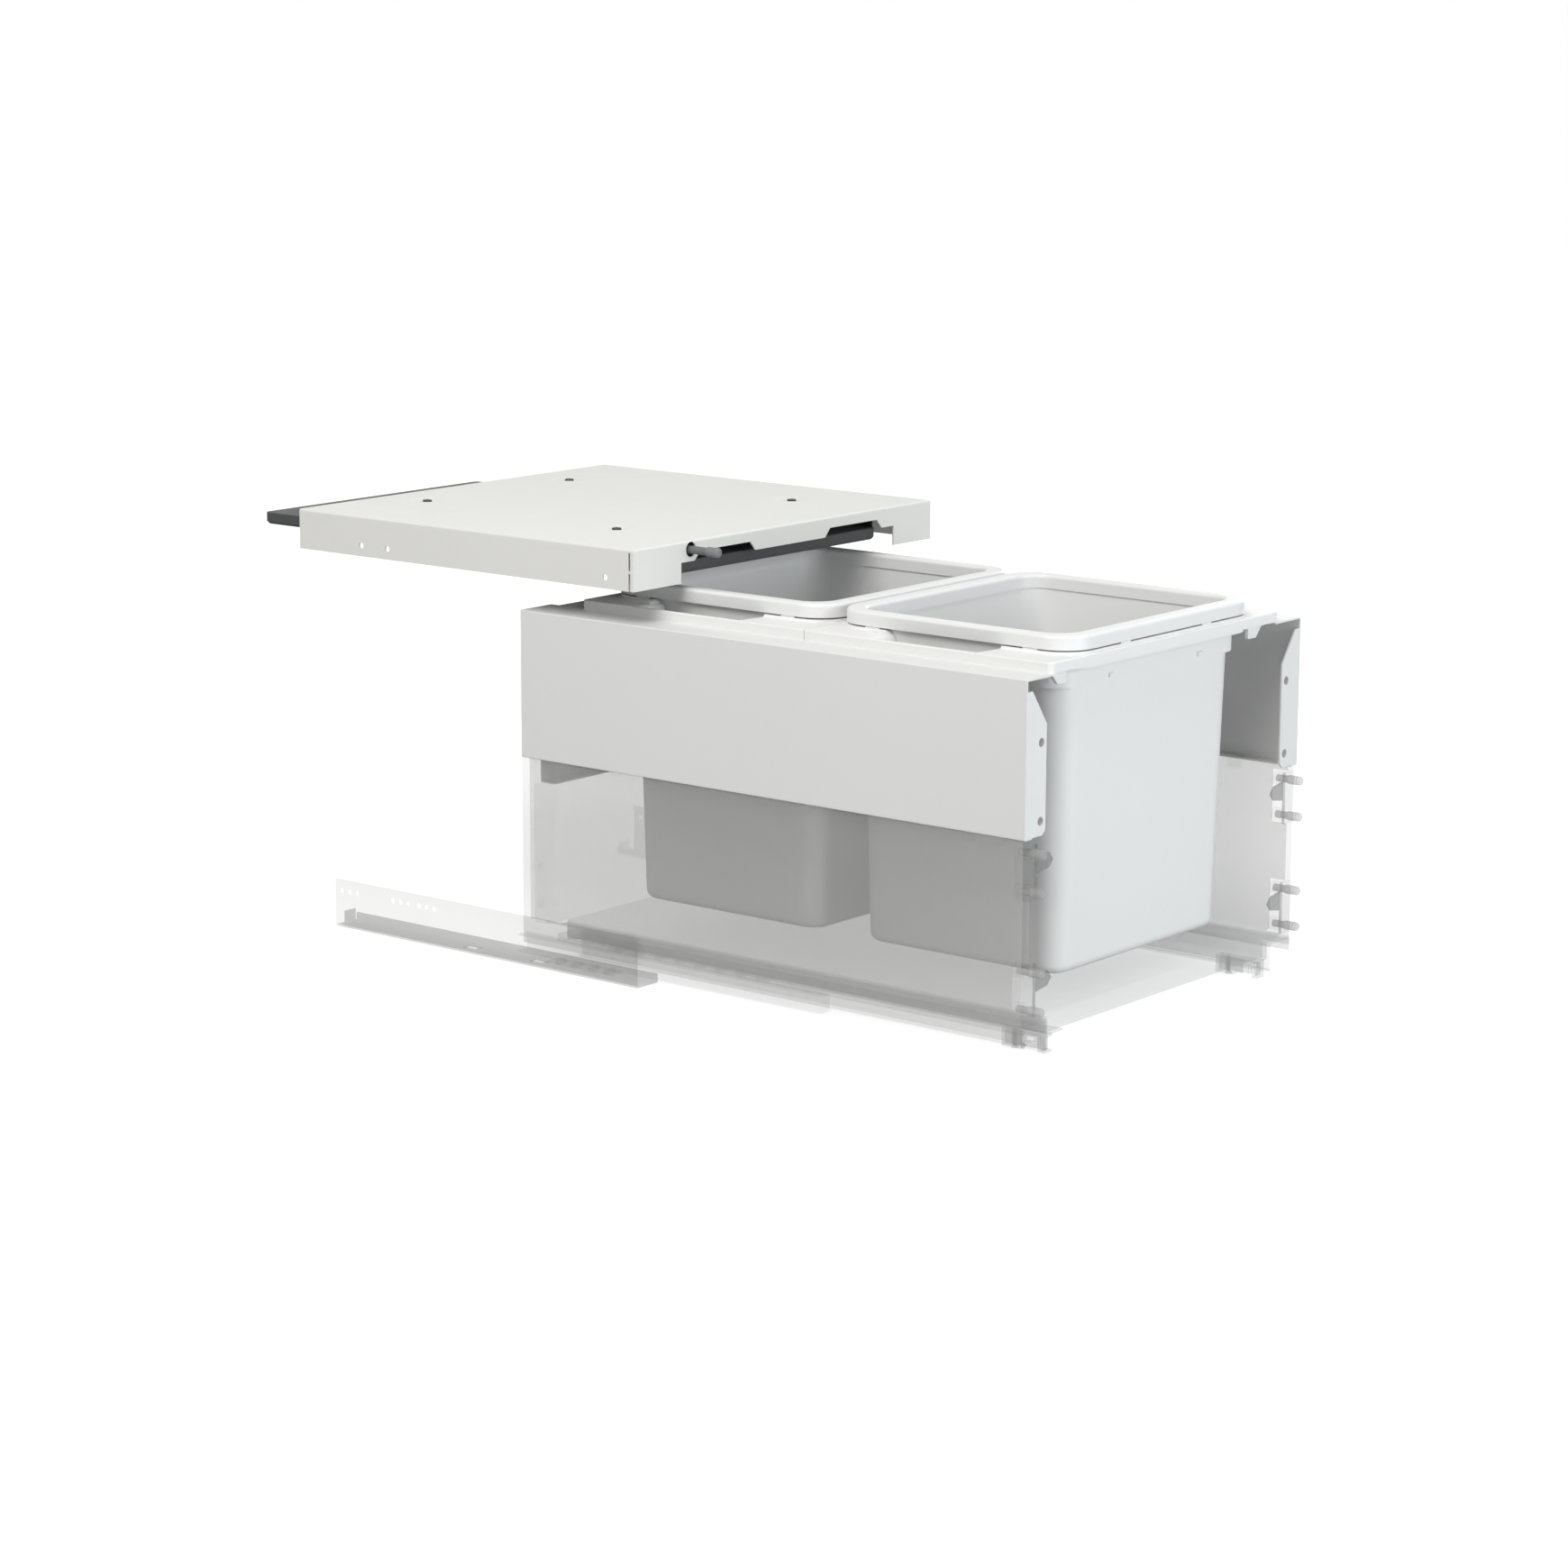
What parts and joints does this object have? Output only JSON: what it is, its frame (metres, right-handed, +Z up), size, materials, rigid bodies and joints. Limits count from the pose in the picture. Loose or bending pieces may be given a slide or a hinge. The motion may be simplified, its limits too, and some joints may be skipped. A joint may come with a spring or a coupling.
{
  "type": "pull-out waste bin unit",
  "caption": "Drawer on side runners that hangs lift-out waste bins in a frame, with a fixed cover above whose flat lid drops onto the bins when the drawer shuts.",
  "frame": {"origin": "middle plane of the unit, at the cabinet's front edge, level with the row of runner fixing holes", "axes": "+X to the unit's right seen from the front, +Y to the back of the cabinet, +Z up"},
  "size_m": [0.418, 0.9255, 0.3805],
  "materials": {
    "cover_sheet": "white powder coat, smooth",
    "panel_sheet": "light grey-white powder coat",
    "drawer_sheet": null,
    "zinc_rail": "zinc plated",
    "white_plastic": "smooth moulded",
    "frame_plastic": "satin moulded",
    "lid_plastic": "fine matt grain",
    "black_plastic": "fine matt grain",
    "grey_plastic": "fine matt grain",
    "soft_tip": "soft matt cap",
    "screw_steel": "dark zinc",
    "spring_steel": "bright wire",
    "board_white": "melamine faced board",
    "clear_grey_plastic": null
  },
  "bodies": {
    "cabinet_side": {"cover_shell": "cover_sheet", "guide_rail_left": "zinc_rail", "guide_rail_right": "zinc_rail", "cover_screws": "screw_steel", "cover_nuts": "screw_steel", "pusher_guide": "black_plastic", "return_spring": "spring_steel", "lever_pivot": "screw_steel", "cabinet_profile_left": "zinc_rail", "cabinet_profile_right": "zinc_rail"},
    "lid": {"lid_panel": "lid_plastic", "lid_pins": "screw_steel", "lid_drive_pin": "screw_steel"},
    "pusher": {"pusher_rod": "grey_plastic", "pusher_tip": "soft_tip"},
    "lever": {"transfer_lever": "black_plastic"},
    "lower_cage_pair": {"lower_cages": "grey_plastic", "lower_rollers": "screw_steel"},
    "middle_rails": {"middle_rail_left": "zinc_rail", "middle_rail_right": "zinc_rail"},
    "upper_cage_pair": {"upper_cages": "grey_plastic", "upper_rollers": "screw_steel"},
    "drawer": {"drawer_rail_left": "zinc_rail", "drawer_rail_right": "zinc_rail", "drawer_side_left": "drawer_sheet", "drawer_side_right": "drawer_sheet", "drawer_floor": "board_white", "back_panel": "board_white", "back_bracket_left": "drawer_sheet", "back_bracket_right": "drawer_sheet", "back_screws": "screw_steel", "front_brackets": "clear_grey_plastic", "front_dowels": "clear_grey_plastic", "side_panel_left": "panel_sheet", "side_panel_right": "panel_sheet", "rear_panel": "panel_sheet", "panel_clips": "clear_grey_plastic", "rear_clips": "grey_plastic", "frame_front": "frame_plastic", "frame_rear": "frame_plastic", "frame_screws": "screw_steel", "coupling_left": "clear_grey_plastic", "coupling_right": "clear_grey_plastic", "catch_pins": "screw_steel"},
    "catch_left": {"catch_lever_left": "grey_plastic"},
    "catch_right": {"catch_lever_right": "grey_plastic"},
    "front_bin_body": {"front_bin": "white_plastic"},
    "rear_bin_body": {"rear_bin": "white_plastic"}
  },
  "joints": [
    {"name": "drawer_slide", "type": "slide", "parent": "cabinet_side", "child": "drawer", "axis": [0, -1, 0], "range_m": [-0.399, 0.131]},
    {"name": "middle_rail_slide", "type": "slide", "parent": "cabinet_side", "child": "middle_rails", "axis": [0, -1, 0], "range_m": [-0.1996, 0.0656]},
    {"name": "lower_cage_slide", "type": "slide", "parent": "cabinet_side", "child": "lower_cage_pair", "axis": [0, -1, 0], "range_m": [-0.0998, 0.0328]},
    {"name": "upper_cage_slide", "type": "slide", "parent": "cabinet_side", "child": "upper_cage_pair", "axis": [0, -1, 0], "range_m": [-0.2993, 0.0983]},
    {"name": "lid_drop", "type": "slide", "parent": "cabinet_side", "child": "lid", "axis": [0, -0.8321, -0.5547], "range_m": [0, 0.01803], "stiffness_N_per_m": 300, "springref_m": -0.02},
    {"name": "pusher_push", "type": "slide", "parent": "cabinet_side", "child": "pusher", "axis": [0, 1, 0], "range_m": [0, 0.0261], "deforming": ["return_spring"]},
    {"name": "lever_swing", "type": "hinge", "parent": "cabinet_side", "child": "lever", "pos_m": [-0.0815, 0.047, 0.3305], "axis": [0, 0, -1], "range_deg": [0, 28.2]},
    {"name": "catch_left_turn", "type": "hinge", "parent": "drawer", "child": "catch_left", "pos_m": [-0.16, -0.362, -0.0245], "axis": [0, 0, 1], "range_deg": [0, 10], "stiffness_Nm_per_rad": 0.2, "springref_deg": -5.73},
    {"name": "catch_right_turn", "type": "hinge", "parent": "drawer", "child": "catch_right", "pos_m": [0.16, -0.362, -0.0245], "axis": [0, 0, -1], "range_deg": [0, 10], "stiffness_Nm_per_rad": 0.2, "springref_deg": -5.73},
    {"name": "front_bin_lift", "type": "slide", "parent": "drawer", "child": "front_bin_body", "axis": [0, 0, 1], "range_m": [0, 0.3]},
    {"name": "rear_bin_lift", "type": "slide", "parent": "drawer", "child": "rear_bin_body", "axis": [0, 0, 1], "range_m": [0, 0.004]}
  ],
  "couplings": [
    {"joint": "middle_rail_slide", "follows": "drawer_slide", "ratio": 0.5},
    {"joint": "lower_cage_slide", "follows": "drawer_slide", "ratio": 0.25},
    {"joint": "upper_cage_slide", "follows": "drawer_slide", "ratio": 0.75},
    {"joint": "pusher_push", "follows": "lid_drop", "ratio": 1.4422},
    {"joint": "lever_swing", "follows": "lid_drop", "rad_per_m": 27.178}
  ]
}
